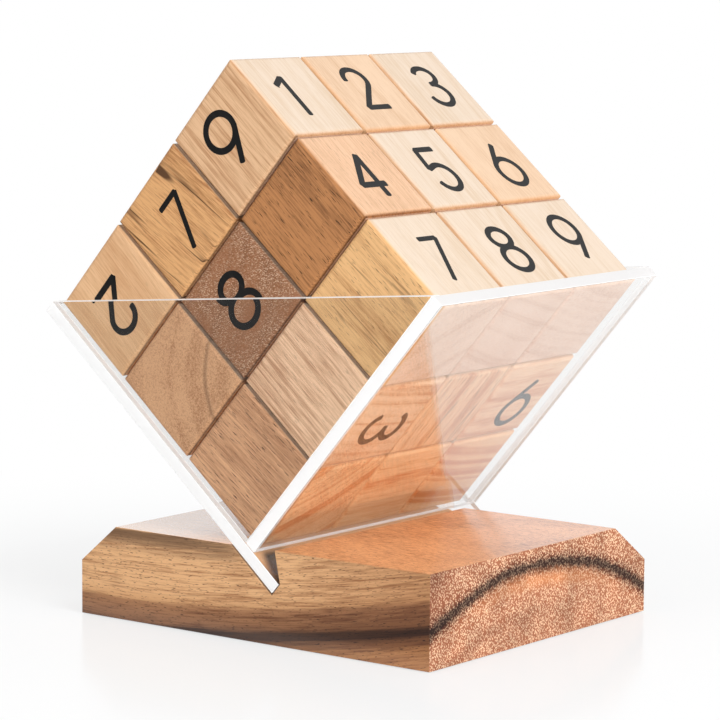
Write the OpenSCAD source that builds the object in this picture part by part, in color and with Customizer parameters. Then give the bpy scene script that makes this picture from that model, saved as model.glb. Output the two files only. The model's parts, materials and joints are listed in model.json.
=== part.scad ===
// Number cube puzzle: loose wooden cubes stacked three by three by three on one edge, in a clear
// V-shaped tray whose longer side stands in a slanted groove of a wooden base.
// Millimetres, +Z up. The origin is the middle of the base's underside, and the front faces -Y.

/* [Cubes] */
// Side of one small cube
cube_side = 24.9; // [20:0.1:30]
// Air left between neighbouring cubes
cube_gap = 0.3; // [0.1:0.05:0.5]
// Radius of a cube's sanded edges
cube_edge_r = 1.2; // [0.3:0.1:2]

/* [Tray] */
// Thickness of the clear sheet
sheet_t = 3; // [2:0.5:4]
// Turn of the whole tray past an even V, towards its longer side, in degrees
tray_tilt = 4.3; // [0:0.1:8]
// Air left between the cubes and the tray, at its longer side and front
tray_gap = 0.4; // [0.2:0.05:0.8]
// Air left under the cubes, at the tray's shorter side
seat_gap = 0.2; // [0.1:0.05:0.6]
// Air left behind the rear cubes
rear_gap = 2.6; // [0.3:0.1:4]
// Length of the longer side from the V's inner corner up to its rim
long_rim = 76; // [60:0.5:85]
// Length of the shorter side from the V's inner corner up to its rim
short_rim = 77.3; // [60:0.1:85]
// Length of the longer side that runs on below the V, into the groove
tongue_l = 12.4; // [9:0.1:14]

/* [Base] */
// Width of the base, along X
base_w = 99.2; // [90:0.1:120]
// Height of the base
base_h = 21.2; // [19:0.1:28]
// Distance of the V to the left of the base's middle
v_offset = 1; // [-6:0.1:6]
// Height of the V's inner corner above the base's top
v_lift = 0.7; // [0:0.1:1.5]
// Width of the slope cut along the left end
end_slope_w = 10.4; // [4:0.1:16]
// Height of the slope cut along the left end
end_slope_h = 8.8; // [4:0.1:14]
// Depth of the slope cut along the back
back_slope_d = 12.7; // [4:0.1:16]
// Height of the slope cut along the back
back_slope_h = 8.9; // [4:0.1:14]
// Air left round the sheet in the groove
groove_gap = 0.25; // [0.2:0.05:0.6]
// Distance from the V to the groove's right lip
groove_lip = 8.2; // [6.5:0.1:11]

/* [Hidden] */
$fn = 64;
// Cubes along each way of the stack, the names of its layers from the front, and a cut's overrun
N = 3;
LAYERS = ["front", "middle", "rear"];
overrun = 1;

// The stack, and the tray and base that are as deep as each other
cube_pitch = cube_side + cube_gap;
stack_side = N * cube_side + (N - 1) * cube_gap;
tray_d = stack_side + tray_gap + rear_gap + 2 * sheet_t;
rise = 45 + tray_tilt;

// Clear sheet and the base's wood
SHEET = [0.86, 0.92, 0.94, 0.35];
BASE_WOOD = [0.66, 0.44, 0.24];

// Tones of the cubes from pale to dark, and which one each cube has: a list per layer from the
// front, with the courses upwards along the longer side and the places along the shorter one
TONES = [[0.89, 0.74, 0.54], [0.78, 0.60, 0.39], [0.65, 0.46, 0.28], [0.46, 0.29, 0.17]];
CUBE_TONES = [
    [[2, 1, 1], [1, 2, 3], [1, 1, 0]],
    [[1, 2, 0], [2, 1, 0], [0, 1, 0]],
    [[1, 0, 0], [2, 1, 0], [1, 2, 0]]
];

function cube_name(i, j, k) = str(LAYERS[k], "_cube_r", j + 1, "_c", i + 1);

PANELS = ["long_side_panel", "short_side_panel", "front_end_panel", "rear_end_panel"];
CUBES = [for (k = [0:N - 1]) for (j = [0:N - 1]) for (i = [0:N - 1]) cube_name(i, j, k)];

// Where a point of the tray's own section lies in the base's section: a runs up the shorter
// side and b up the longer one, both from the V's inner corner
function in_section(a, b) = [
    a * cos(rise) - b * sin(rise) - v_offset,
    a * sin(rise) + b * cos(rise) + base_h + v_lift
];

// The tray's own frame: X up the shorter side, Z up the longer one, Y from its front to its back
module in_tray() {
    translate([-v_offset, -tray_d / 2, base_h + v_lift])
        rotate([0, -rise, 0])
            children();
}

// An outline in X and Z, drawn out along Y from the given front
module along_depth(front, depth) {
    translate([0, front + depth, 0])
        rotate([90, 0, 0])
            linear_extrude(depth)
                children();
}

// Solid block with its two top slopes and the slanted groove that the tray stands in
module base() {
    color(BASE_WOOD)
        difference() {
            along_depth(-tray_d / 2, tray_d) base_outline();
            along_depth(-tray_d / 2 - overrun, tray_d + 2 * overrun) groove_outline();
            back_slope();
        }
}

// Front view of the block, with the slope at its left end
module base_outline() {
    half = base_w / 2;
    polygon([
        [-half, 0],
        [half, 0],
        [half, base_h],
        [-half + end_slope_w, base_h],
        [-half, base_h - end_slope_h]
    ]);
}

// A saw cut along the longer side, opened towards the right by a second cut down to its floor
module groove_outline() {
    floor_b = -tongue_l - groove_gap;
    mouth_b = (sheet_t + groove_gap) * tan(rise) + overrun / cos(rise);
    lip_x = groove_lip - v_offset;
    polygon([
        in_section(-sheet_t - groove_gap, mouth_b),
        in_section(-sheet_t - groove_gap, floor_b),
        in_section(groove_gap, floor_b),
        [lip_x, base_h],
        [lip_x, base_h + overrun]
    ]);
}

// What the slope along the back takes away
module back_slope() {
    translate([-base_w / 2 - overrun, tray_d / 2, base_h])
        rotate([90, 0, 90])
            linear_extrude(base_w + 2 * overrun)
                polygon([
                    [-back_slope_d, 0],
                    [0, -back_slope_h],
                    [overrun, -back_slope_h],
                    [overrun, overrun],
                    [-back_slope_d, overrun]
                ]);
}

// Left side of the tray, which runs on below the V as the tongue that stands in the groove
module long_side_panel() {
    color(SHEET)
        in_tray()
            translate([-sheet_t, 0, -tongue_l])
                cube([sheet_t, tray_d, tongue_l + long_rim]);
}

// Right side of the tray, butted square against the longer side
module short_side_panel() {
    color(SHEET)
        in_tray()
            translate([0, 0, -sheet_t])
                cube([short_rim, tray_d, sheet_t]);
}

// One of the two triangles set between the sides, flush with their ends
module end_panel(front) {
    color(SHEET)
        in_tray()
            along_depth(front, sheet_t)
                polygon([[0, 0], [short_rim, 0], [0, long_rim]]);
}

module front_end_panel() {
    end_panel(0);
}

module rear_end_panel() {
    end_panel(tray_d - sheet_t);
}

// Square with round corners, the section of a bar that a cube is cut from
module eased_square() {
    inner = cube_side - 2 * cube_edge_r;
    square([cube_side, inner], center = true);
    square([inner, cube_side], center = true);
    for (x = [-inner / 2, inner / 2], y = [-inner / 2, inner / 2])
        translate([x, y])
            circle(cube_edge_r);
}

// A cube with all twelve edges sanded round, centred on the origin
module eased_cube() {
    intersection_for (turn = [[0, 0, 0], [90, 0, 0], [0, 90, 0]])
        rotate(turn)
            linear_extrude(cube_side, center = true)
                eased_square();
}

// The loose cube at place i of course j in layer k
module stacked_cube(i, j, k) {
    first = [tray_gap, sheet_t + tray_gap, seat_gap] + cube_side / 2 * [1, 1, 1];
    color(TONES[CUBE_TONES[k][j][i]])
        in_tray()
            translate(first + cube_pitch * [i, k, j])
                eased_cube();
}

base();
long_side_panel();
short_side_panel();
front_end_panel();
rear_end_panel();
for (k = [0:N - 1], j = [0:N - 1], i = [0:N - 1])
    stacked_cube(i, j, k);
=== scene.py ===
"""Finishes, painted numbers and a small studio for a stack of 27 wooden cubes in a clear tray."""

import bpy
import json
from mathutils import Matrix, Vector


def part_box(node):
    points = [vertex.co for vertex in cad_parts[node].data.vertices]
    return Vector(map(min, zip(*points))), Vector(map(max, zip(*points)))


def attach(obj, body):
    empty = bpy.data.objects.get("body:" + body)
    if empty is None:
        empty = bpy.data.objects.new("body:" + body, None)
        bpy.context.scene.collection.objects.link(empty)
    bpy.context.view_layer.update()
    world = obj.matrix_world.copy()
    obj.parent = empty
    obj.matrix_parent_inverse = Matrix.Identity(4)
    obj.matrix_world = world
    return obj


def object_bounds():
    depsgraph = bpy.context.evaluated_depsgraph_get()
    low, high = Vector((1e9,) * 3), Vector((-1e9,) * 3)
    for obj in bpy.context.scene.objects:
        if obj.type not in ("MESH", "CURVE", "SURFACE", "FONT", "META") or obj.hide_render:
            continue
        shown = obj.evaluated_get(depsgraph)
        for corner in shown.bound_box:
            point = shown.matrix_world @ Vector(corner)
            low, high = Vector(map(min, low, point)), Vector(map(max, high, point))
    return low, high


bl_info = {
    "name": "Number Cube Puzzle",
    "version": (1, 0, 0),
    "blender": (4, 5, 0),
    "location": "View3D > Sidebar > Cube Puzzle",
    "description": "Dresses the wooden base, the clear tray and the numbered cubes, and sets a plain studio",
    "category": "Object",
}

import json
import math
import random

import bmesh
import bpy
from bpy.props import FloatProperty, FloatVectorProperty, PointerProperty
from mathutils import Matrix, Vector
from mathutils.geometry import delaunay_2d_cdt

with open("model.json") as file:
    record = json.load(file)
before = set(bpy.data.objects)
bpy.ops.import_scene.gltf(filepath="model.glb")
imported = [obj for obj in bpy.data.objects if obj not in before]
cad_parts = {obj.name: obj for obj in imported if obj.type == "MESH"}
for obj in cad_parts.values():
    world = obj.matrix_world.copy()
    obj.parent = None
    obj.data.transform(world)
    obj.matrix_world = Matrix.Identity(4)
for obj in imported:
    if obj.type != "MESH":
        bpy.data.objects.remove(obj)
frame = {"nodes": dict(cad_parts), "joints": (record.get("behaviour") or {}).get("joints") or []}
CAD_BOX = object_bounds()

MM = 0.001
NODES = frame["nodes"]

# Tray axes: up along the short side, into the depth, up along the long side
FIRST_LIFT = "front_cube_r1_c1_lift"
UP_LONG = Vector(next(joint["axis"] for joint in frame["joints"] if joint["name"] == FIRST_LIFT))
UP_SHORT = Vector((UP_LONG.z, 0.0, -UP_LONG.x))
DEPTH = Vector((0.0, 1.0, 0.0))
TRAY_TURN = Matrix((UP_SHORT, DEPTH, UP_LONG)).transposed()

CUBES = sorted(name for name in NODES if "_cube_" in name)
CUBE_LOW, CUBE_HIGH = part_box(CUBES[0])
CUBE_SIDE = CUBE_HIGH.y - CUBE_LOW.y
HALF_CUBE_MM = CUBE_SIDE / MM / 2
_, BASE_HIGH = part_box("base")


def tone(red, green, blue):
    """A colour as read off a screen, 0 to 255, in the linear values that materials take."""
    def linear(level):
        level /= 255.0
        return level / 12.92 if level <= 0.04045 else ((level + 0.055) / 1.055) ** 2.4
    return linear(red), linear(green), linear(blue), 1.0


# What most kinds of cube wood share: the paler tone painted on the lit side as light, how far the rings
# wander in mm, and no veins, flecks or crack
USUAL = dict(sunned=tone(222, 205, 187), wander=4.0, streaks=0.0, flecks=0.0, crack=0.0)
# Each kind of cube wood: pale and dark tone, ring width and pith in mm, lean of the grain in degrees, the
# strength of each mark, and how far its lit side is painted paler as light. A crack runs round the pith, this
# far from it in mm
WOODS = {
    "cream": dict(USUAL, pale=tone(225, 183, 142), dark=tone(184, 134, 92), ring=0.8, pith=(160, 40), lean=1,
                  rings=0.6, fibres=1.0, pores=0.1, bleach=0.92),
    "peach": dict(USUAL, pale=tone(228, 184, 140), dark=tone(198, 146, 100), ring=4.0, pith=(-48, 60), lean=3,
                  rings=0.4, fibres=0.8, pores=0.15, bleach=0.46),
    "streaked": dict(USUAL, pale=tone(220, 167, 112), dark=tone(166, 112, 66), ring=4.1, pith=(26, 34),
                     lean=-8, rings=0.5, fibres=1.2, pores=0.35, streaks=1.2, bleach=0.8),
    "figured": dict(USUAL, pale=tone(214, 164, 122), dark=tone(164, 112, 74), ring=6.0, pith=(25.5, -24.9),
                    lean=0, rings=0.4, fibres=1.1, pores=0.1, streaks=0.1, crack=29.1, bleach=0.8),
    "striped": dict(USUAL, pale=tone(244, 202, 165), dark=tone(180, 128, 92), ring=1.2, pith=(160, 20),
                    lean=0, rings=0.5, fibres=0.9, pores=0.4, wander=1.2, bleach=0.8),
    "olive": dict(USUAL, pale=tone(230, 182, 126), dark=tone(184, 132, 82), ring=6.0, pith=(-70, 44), lean=-1,
                  rings=0.5, fibres=1.0, pores=0.7, streaks=0.6, bleach=0.95),
    "brown": dict(USUAL, pale=tone(226, 173, 130), dark=tone(168, 117, 81), ring=7.0, pith=(60, -40), lean=-5,
                  rings=0.5, fibres=0.9, pores=1.3, streaks=0.2, bleach=0.8),
    "walnut": dict(USUAL, pale=tone(186, 127, 77), dark=tone(120, 75, 40), ring=6.2, pith=(-90, 10), lean=1,
                   rings=0.4, fibres=1.2, pores=1.0, sunned=tone(245, 208, 176), bleach=0.66),
    "flecked": dict(USUAL, pale=tone(153, 101, 66), dark=tone(110, 70, 44), ring=3.0, pith=(30, 52), lean=-48,
                    rings=0.3, fibres=0.8, pores=0.3, flecks=0.95, bleach=0.6),
}
# Kind of wood by layer and course, from the V up, along the short side
CUBE_KINDS = {
    "front": (("brown", "striped", "olive"),
              ("figured", "flecked", "walnut"),
              ("peach", "streaked", "cream")),
    "middle": (("peach", "olive", "cream"),
               ("walnut", "cream", "cream"),
               ("brown", "cream", "peach")),
    "rear": (("striped", "peach", "cream"),
             ("olive", "figured", "peach"),
             ("cream", "streaked", "cream")),
}
# Cubes whose grain runs into the depth, or along the short side, and not along the long side
GRAIN_IN_DEPTH = ("front_cube_r2_c1", "front_cube_r2_c2", "middle_cube_r1_c1", "rear_cube_r2_c2",
                  "rear_cube_r1_c2")
GRAIN_ALONG_SHORT = ("middle_cube_r1_c2", "middle_cube_r3_c1", "rear_cube_r3_c1", "rear_cube_r2_c1")

# Face of a cube: the directions that read as right and up on it, seen from outside
FACES = {
    "front": (UP_SHORT, UP_LONG),
    "rear": (-UP_SHORT, UP_LONG),
    "right": (DEPTH, UP_LONG),
    "left": (-DEPTH, UP_LONG),
    "top": (UP_SHORT, DEPTH),
    "under": (DEPTH, UP_SHORT),
}
# Numbers: cube, face, number, quarter turns to the right, and shift right and up in mm
NUMBERS = (
    ("front_cube_r3_c3", "right", 1, 0, -2.0, -0.4),
    ("middle_cube_r3_c3", "right", 2, 0, -0.9, 0.8),
    ("rear_cube_r3_c3", "right", 3, 0, 0.3, 0.2),
    ("front_cube_r2_c3", "right", 4, 0, -0.8, -0.8),
    ("middle_cube_r2_c3", "right", 5, 0, 1.1, -0.6),
    ("rear_cube_r2_c3", "right", 6, 0, 1.1, -1.1),
    ("front_cube_r1_c3", "right", 7, 0, 1.0, -1.6),
    ("middle_cube_r1_c3", "right", 8, 0, 1.0, -1.1),
    ("rear_cube_r1_c3", "right", 9, 0, 1.6, 0.2),
    ("front_cube_r3_c3", "front", 9, 0, -1.6, 1.2),
    ("front_cube_r3_c2", "front", 7, 0, 1.4, -1.5),
    ("front_cube_r2_c2", "front", 8, 0, -0.2, 0.5),
    ("front_cube_r3_c1", "front", 2, 2, -1.3, -0.9),
    ("front_cube_r1_c2", "under", 3, 1, 0.8, -1.7),
    ("rear_cube_r1_c2", "under", 6, 0, 2.2, -1.5),
    ("front_cube_r3_c2", "top", 6, 1, 0.6, -0.4),
    ("front_cube_r3_c3", "top", 4, 0, -0.5, 0.7),
    ("middle_cube_r3_c1", "top", 1, 2, 0.3, 0.2),
    ("middle_cube_r3_c3", "top", 7, 1, -0.8, -0.3),
    ("rear_cube_r3_c1", "top", 5, 0, 0.9, 0.4),
    ("rear_cube_r3_c2", "top", 3, 3, -0.2, -0.9),
    ("rear_cube_r3_c3", "top", 8, 0, 0.4, 0.6),
    ("rear_cube_r1_c1", "rear", 2, 0, 0.5, -0.7),
    ("rear_cube_r1_c3", "rear", 4, 1, -0.6, 0.2),
    ("rear_cube_r2_c1", "rear", 9, 2, 0.2, 0.8),
    ("rear_cube_r2_c2", "rear", 5, 0, -0.9, -0.1),
    ("rear_cube_r3_c2", "rear", 1, 0, 0.8, 0.5),
    ("rear_cube_r3_c3", "rear", 6, 3, -0.3, -0.6),
    ("front_cube_r1_c1", "left", 3, 0, 0.4, 0.3),
    ("front_cube_r3_c1", "left", 8, 1, -0.7, -0.5),
    ("middle_cube_r1_c1", "left", 5, 2, 0.6, 0.9),
    ("middle_cube_r2_c1", "left", 4, 0, -0.4, -0.2),
    ("rear_cube_r2_c1", "left", 7, 3, 0.1, 0.6),
    ("rear_cube_r3_c1", "left", 2, 0, 0.7, -0.8),
    ("front_cube_r3_c1", "under", 1, 0, 0.2, 0.4),
    ("rear_cube_r1_c3", "top", 1, 1, -0.5, 0.3),
    ("rear_cube_r3_c1", "front", 9, 0, 0.6, -0.2),
    ("middle_cube_r3_c3", "front", 5, 2, -0.1, 0.7),
    ("front_cube_r1_c3", "top", 9, 0, 0.8, -0.4),
    ("front_cube_r1_c3", "rear", 4, 3, -0.7, 0.1),
    ("rear_cube_r1_c1", "right", 6, 0, 0.3, 0.5),
    ("rear_cube_r1_c1", "top", 9, 2, -0.6, -0.7),
    ("front_cube_r2_c1", "top", 3, 0, 0.5, 0.2),
    ("middle_cube_r1_c2", "top", 6, 1, -0.2, 0.6),
    ("middle_cube_r3_c2", "under", 2, 0, 0.4, -0.5),
    ("front_cube_r1_c1", "top", 7, 0, -0.8, 0.3),
    ("front_cube_r1_c2", "rear", 8, 2, 0.1, -0.6),
    ("front_cube_r2_c3", "top", 2, 3, 0.7, 0.4),
    ("middle_cube_r1_c1", "front", 8, 0, -0.3, 0.8),
    ("middle_cube_r1_c3", "rear", 3, 1, 0.6, -0.1),
    ("middle_cube_r2_c3", "top", 1, 0, -0.5, -0.4),
    ("middle_cube_r3_c1", "rear", 4, 2, 0.2, 0.7),
    ("rear_cube_r1_c2", "front", 5, 0, -0.6, 0.1),
    ("rear_cube_r2_c3", "top", 7, 1, 0.8, -0.3),
)

# Strokes of each number, in mm from its middle: points, or an arc as its middle, half its width and height,
# and the degrees from which and to which it runs
STROKES = {
    1: [[(0.7, 5.95), (0.55, -5.95)], [(-2.7, 3.5), (0.5, 5.7)], [(-2.4, 3.4), (0.5, 4.5)]],
    2: [[((0.05, 2.9), (3.65, 3.3), 182, -40), (-3.6, -6.2), (4.0, -6.2)]],
    3: [[((0.0, 3.4), (3.4, 2.7), 156, -90)], [((-0.1, -2.75), (3.75, 3.45), 92, -165)]],
    4: [[(2.1, -6.2), (2.1, 6.2), (-3.9, -2.7), (4.3, -2.7)]],
    5: [[(3.2, 6.2), (-3.0, 6.2), (-3.5, 0.15)], [(-3.5, 0.15), ((0.0, -2.7), (3.8, 3.9), 110, -157)]],
    6: [[((0.0, -2.3), (4.2, 4.2), 0, 360)], [(1.0, 6.4), (-3.8, -0.45)]],
    7: [[(-3.0, 6.2), (3.1, 6.2), (-2.2, -6.1)]],
    8: [[((-0.1, 3.5), (3.4, 2.8), 0, 360)], [((0.0, -3.0), (4.1, 3.6), 0, 360)]],
    9: [[((0.0, 2.3), (4.2, 4.2), 0, 360)], [(3.95, 0.7), (-0.5, -6.5)]],
}
# Numbers painted with a finer or a broader stroke than the rest, and faces whose numbers are larger
STROKE_SHARES = {4: 1.1, 7: 0.85, 8: 1.05}
NUMBER_SHARES = {"under": 1.08}


def size(name, description, default):
    return FloatProperty(name=name, description=description, default=default, unit="LENGTH", precision=5)


def share(name, description, default):
    return FloatProperty(name=name, description=description, default=default, min=0.0, max=2.0,
                         subtype="FACTOR")


def angle(name, description, degrees):
    return FloatProperty(name=name, description=description, default=math.radians(degrees), unit="ROTATION")


def colour(name, description, default):
    return FloatVectorProperty(name=name, description=description, default=default, size=4, min=0.0, max=1.0,
                               subtype="COLOR")


def wood_settings(kind, wood):
    """A property group for one kind of cube wood, with that wood's own defaults."""
    fields = {
        "pale": colour("Pale", f"Early wood of the {kind} cubes", wood["pale"]),
        "dark": colour("Dark", f"Late wood of the {kind} cubes", wood["dark"]),
        # Painted light: the lit side of a cube is painted paler, with this tone and the share below
        "sunned": colour("Sunlit", f"Early wood of the {kind} cubes, faded by the sun", wood["sunned"]),
        "ring": size("Ring width", "Distance from one growth ring to the next", wood["ring"] * MM),
        "rings": share("Rings", "How strongly the growth rings show", wood["rings"]),
        "fibres": share("Fibres", "How strongly the fine fibres show", wood["fibres"]),
        "pores": share("Pores", "How dark the open pores are", wood["pores"]),
        "streaks": share("Streaks", "How dark the long thin veins are", wood["streaks"]),
        "flecks": share("Flecks", "How bright the flecks in the grain are", wood["flecks"]),
        "bleach": share("Bleach", "How far the sunlit side has faded", wood["bleach"]),
    }
    return type(f"PUZZLE_PG_{kind}", (bpy.types.PropertyGroup,), {"__annotations__": fields})


WOOD_CLASSES = {kind: wood_settings(kind, wood) for kind, wood in WOODS.items()}


class PUZZLE_PG_base(bpy.types.PropertyGroup):
    sap: colour("Sapwood", "Golden wood along the grain", tone(227, 177, 127))
    late: colour("Late wood", "Darker lines along the grain", tone(160, 108, 66))
    ends: colour("End grain", "Wood between the pores where the base is cut across", tone(166, 103, 73))
    dots: colour("Pores", "Pale filled pores where the base is cut across", tone(244, 206, 170))
    orange: colour("Orange zone", "Wood under the dark band where the base is cut across", tone(204, 132, 84))
    smoke: colour("Smoky patch", "Greyer wood along the upper front edge", tone(104, 74, 50))
    # Sides of the groove: a paler tone by the mouth, and painted shade farther in, where little light reaches
    pale_groove: colour("Groove mouth", "Sides of the groove by its mouth", tone(240, 186, 136))
    sawn: colour("Groove", "Sides of the groove farther in", tone(24, 15, 11))
    # A painted reflection makes the left of the top paler
    sheen_tone: colour("Polished top", "Paler wood at the left of the top", tone(255, 228, 206))
    edge: size("Eased edge", "Rounding along the edges of the base", 0.0007)


class PUZZLE_PG_sheet(bpy.types.PropertyGroup):
    clear: colour("Clear", "Tint of what is seen through a sheet", (0.985, 0.988, 0.988, 1.0))
    passed: colour("Passed light", "Tint of the light that a sheet lets by", (0.96, 0.965, 0.965, 1.0))
    cut: colour("Cut edge", "Frosted edge of the clear sheet", tone(254, 254, 254))
    # Painted shade makes the upper rim greyer than the other cut edges
    rim: colour("Rim", "Frosted upper rim of the shorter side", tone(222, 221, 221))
    edge: size("Eased edge", "Rounding along the edges of the sheet", 0.00022)
    glue_line: size("Glue line", "Half the width of the line between two sheets", 0.00003)


# Painted bounce light and reflection on the faces that look down to the base: orange near the base, paler and
# greyer high up the shorter side
class PUZZLE_PG_underside_light(bpy.types.PropertyGroup):
    pale: colour("Pale", "Early wood of the faces turned down to the base", tone(252, 206, 158))
    dark: colour("Dark", "Late wood of the faces turned down to the base", tone(220, 134, 74))
    reflected_pale: colour("Pale, high", "Early wood of those faces far up the shorter side", tone(241, 209, 187))
    reflected_dark: colour("Dark, high", "Late wood of those faces far up the shorter side", tone(212, 164, 134))


class PUZZLE_PG_paint(bpy.types.PropertyGroup):
    ink: colour("Paint", "Paint of the numbers", tone(14, 14, 15))
    worn: colour("Worn paint", "Paint rubbed thin on the fibres of the wood", tone(70, 62, 56))
    stroke: size("Stroke", "Width of the painted line", 0.00155)
    film: size("Film", "How far the paint stands out of the wood", 0.00004)


class PUZZLE_PG_stage(bpy.types.PropertyGroup):
    camera_place: FloatVectorProperty(name="Camera", description="Where the camera stands", subtype="XYZ",
                                      unit="LENGTH", default=(0.45799, -0.60218, 0.15575))
    yaw: angle("Yaw", "Turn of the camera to the left of the depth axis", 37.36)
    pitch: angle("Pitch", "Tilt of the camera below level", 7.31)
    roll: angle("Roll", "Turn of the picture to the left", 0.43)
    lens: FloatProperty(name="Lens", description="Focal length in mm on a 36 mm sensor", default=166.36)
    floor: colour("Floor", "Pale floor", tone(243, 249, 253))
    floor_light: colour("Floor, lighter", "Lighter clouds on the floor", tone(252, 253, 254))


class PUZZLE_PG_settings(bpy.types.PropertyGroup):
    base: PointerProperty(type=PUZZLE_PG_base)
    sheet: PointerProperty(type=PUZZLE_PG_sheet)
    under: PointerProperty(type=PUZZLE_PG_underside_light)
    paint: PointerProperty(type=PUZZLE_PG_paint)
    stage: PointerProperty(type=PUZZLE_PG_stage)


for wood_kind, wood_class in WOOD_CLASSES.items():
    PUZZLE_PG_settings.__annotations__[wood_kind] = PointerProperty(type=wood_class)


class Net:
    """Adds nodes to one node tree. A value is a number, a colour, a vector or another node's output."""

    def __init__(self, tree):
        self.tree = tree

    def put(self, socket, value):
        if isinstance(value, bpy.types.NodeSocket):
            self.tree.links.new(value, socket)
        else:
            socket.default_value = value

    def node(self, kind, inputs=None, **settings):
        node = self.tree.nodes.new("ShaderNode" + kind)
        for name, value in settings.items():
            setattr(node, name, value)
        for name, value in (inputs or {}).items():
            self.put(node.inputs[name], value)
        return node

    def place(self, kind="Object"):
        """Where a point lies on the object, or another of the texture coordinates."""
        return self.node("TexCoord").outputs[kind]

    def split(self, vector):
        return self.node("SeparateXYZ", {"Vector": vector}).outputs

    def join(self, x=0.0, y=0.0, z=0.0):
        return self.node("CombineXYZ", {"X": x, "Y": y, "Z": z}).outputs["Vector"]

    def math(self, operation, *values, clamp=False):
        node = self.node("Math", operation=operation, use_clamp=clamp)
        for socket, value in zip(node.inputs, values):
            self.put(socket, value)
        return node.outputs[0]

    def times(self, first, *others):
        """The product of the values."""
        for other in others:
            first = self.math("MULTIPLY", first, other)
        return first

    def rest(self, part):
        """What a share leaves of one."""
        return self.math("SUBTRACT", 1.0, part)

    def between(self, part, start, end):
        """From start where the share is 0 to end where it is 1."""
        return self.math("MULTIPLY_ADD", part, end - start, start)

    def vector(self, operation, *values):
        node = self.node("VectorMath", operation=operation)
        for socket, value in zip(node.inputs, values):
            self.put(socket, value)
        return node.outputs["Value" if operation in ("LENGTH", "DOT_PRODUCT") else "Vector"]

    def facing(self, direction):
        """How squarely a face looks in a direction: 1 straight at it, -1 straight away."""
        return self.vector("DOT_PRODUCT", self.place("Normal"), direction)

    def mix(self, part, first, second, blend="MIX"):
        node = self.node("Mix", data_type="RGBA", blend_type=blend)
        for index, value in ((0, part), (6, first), (7, second)):
            self.put(node.inputs[index], value)
        return node.outputs[2]

    def tint(self, part, shade, filter_tone):
        """A shade seen through a filter, by that share."""
        return self.mix(part, shade, self.mix(1.0, shade, filter_tone, "MULTIPLY"))

    def mix_shaders(self, part, first, second):
        node = self.node("MixShader", {"Fac": part})
        self.put(node.inputs[1], first)
        self.put(node.inputs[2], second)
        return node.outputs["Shader"]

    def noise(self, place, waves, detail=2.0, roughness=0.5, output="Fac"):
        """Noise with so many waves to a unit along each axis."""
        inputs = {"Vector": self.vector("MULTIPLY", place, waves), "Scale": 1.0, "Detail": detail,
                  "Roughness": roughness}
        return self.node("TexNoise", inputs).outputs[output]

    def step(self, value, low, high):
        """0 below low, 1 above high, and a smooth rise between."""
        node = self.node("MapRange", {"Value": value, "From Min": low, "From Max": high},
                         interpolation_type="SMOOTHSTEP")
        return node.outputs["Result"]

    def near(self, value, reach):
        """1 at nought, falling smoothly to 0 at that reach on either side."""
        return self.rest(self.step(self.math("ABSOLUTE", value), 0.0, reach))

    def ramp(self, value, stops):
        node = self.node("ValToRGB", {"Fac": value})
        elements = node.color_ramp.elements
        while len(elements) < len(stops):
            elements.new(0.5)
        for element, (position, shade) in zip(elements, stops):
            element.position = position
            element.color = shade if len(shade) == 4 else (*shade, 1.0)
        return node.outputs["Color"]


def grey(level):
    return level, level, level, 1.0


def new_material(name):
    material = bpy.data.materials.new(name)
    material.use_nodes = True
    material.node_tree.nodes.clear()
    return material, Net(material.node_tree)


def close_material(net, shader):
    output = net.node("OutputMaterial")
    net.put(output.inputs["Surface"], shader)


def dress(name, material):
    """Gives a CAD node one finish."""
    mesh = NODES[name].data
    mesh.materials.clear()
    mesh.materials.append(material)


GRAIN_INPUTS = {
    "Place": "Vector", "Pale": "Color", "Dark": "Color", "Pith": "Vector", "Wander": "Float",
    "Ring Width": "Float", "Rings": "Float", "Fibres": "Float", "Pores": "Float", "Pore Scale": "Vector",
    "Streaks": "Float", "Flecks": "Float", "Crack": "Float",
}
GRAIN_OUTPUTS = {"Color": "Color", "Roughness": "Float", "Height": "Float", "Distance": "Float"}
# Waves to a mm of each mark of the grain: across it, across it the other way, and along it
WANDER_WAVES = (0.04, 0.04, 0.014)
FIBRE_WAVES = (2.5, 2.5, 0.12)
CLOUD_WAVES = (0.08, 0.08, 0.03)
VEIN_WAVES = (0.2, 0.2, 0.012)
BREAK_WAVES = (0.5, 0.5, 0.05)
FLECK_WAVES = (6.5, 2.2, 0.5)
# Waves to a growth ring, and how fast the rings change along the grain, in waves to a mm
RING_WAVES = (1.0, 1.0, 1.0)
RING_DRIFT = 0.006
# The middle level of noise
NOISE_MIDDLE = 0.5
# Levels of noise between which each mark comes up
LATE_RISE = (0.42, 0.68)
PORE_RISE = (0.63, 0.72)
BREAK_RISE = (0.42, 0.6)
FLECK_RISE = (0.5, 0.7)
FLECKED_CLOUD = (0.3, 0.55)
# How far a vein reaches in its noise, and a crack in mm
VEIN_REACH = 0.02
CRACK_REACH = 0.9
# How strongly fibres, clouds and cracks darken the wood, and the level of noise at which a cloud changes
# nothing
FIBRE_SHARE = 2.8
CLOUD_SHARE = 1.1
CRACK_SHARE = 0.45
CLOUD_LEVEL = 0.4
# What a pore leaves of the dark tone, and the tone of a fleck with its share over the pale one
PORE_SHADE = grey(0.3)
FLECK_TONE = tone(236, 206, 176)
FLECK_SHARE = 0.6
# Roughness between fibres and on them, what a pore adds to it, and how deep a pore lies beside a fibre's
# height
FIBRE_ROUGH = (0.4, 0.62)
PORE_ROUGH = 0.15
PORE_DEPTH = 0.7


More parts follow.
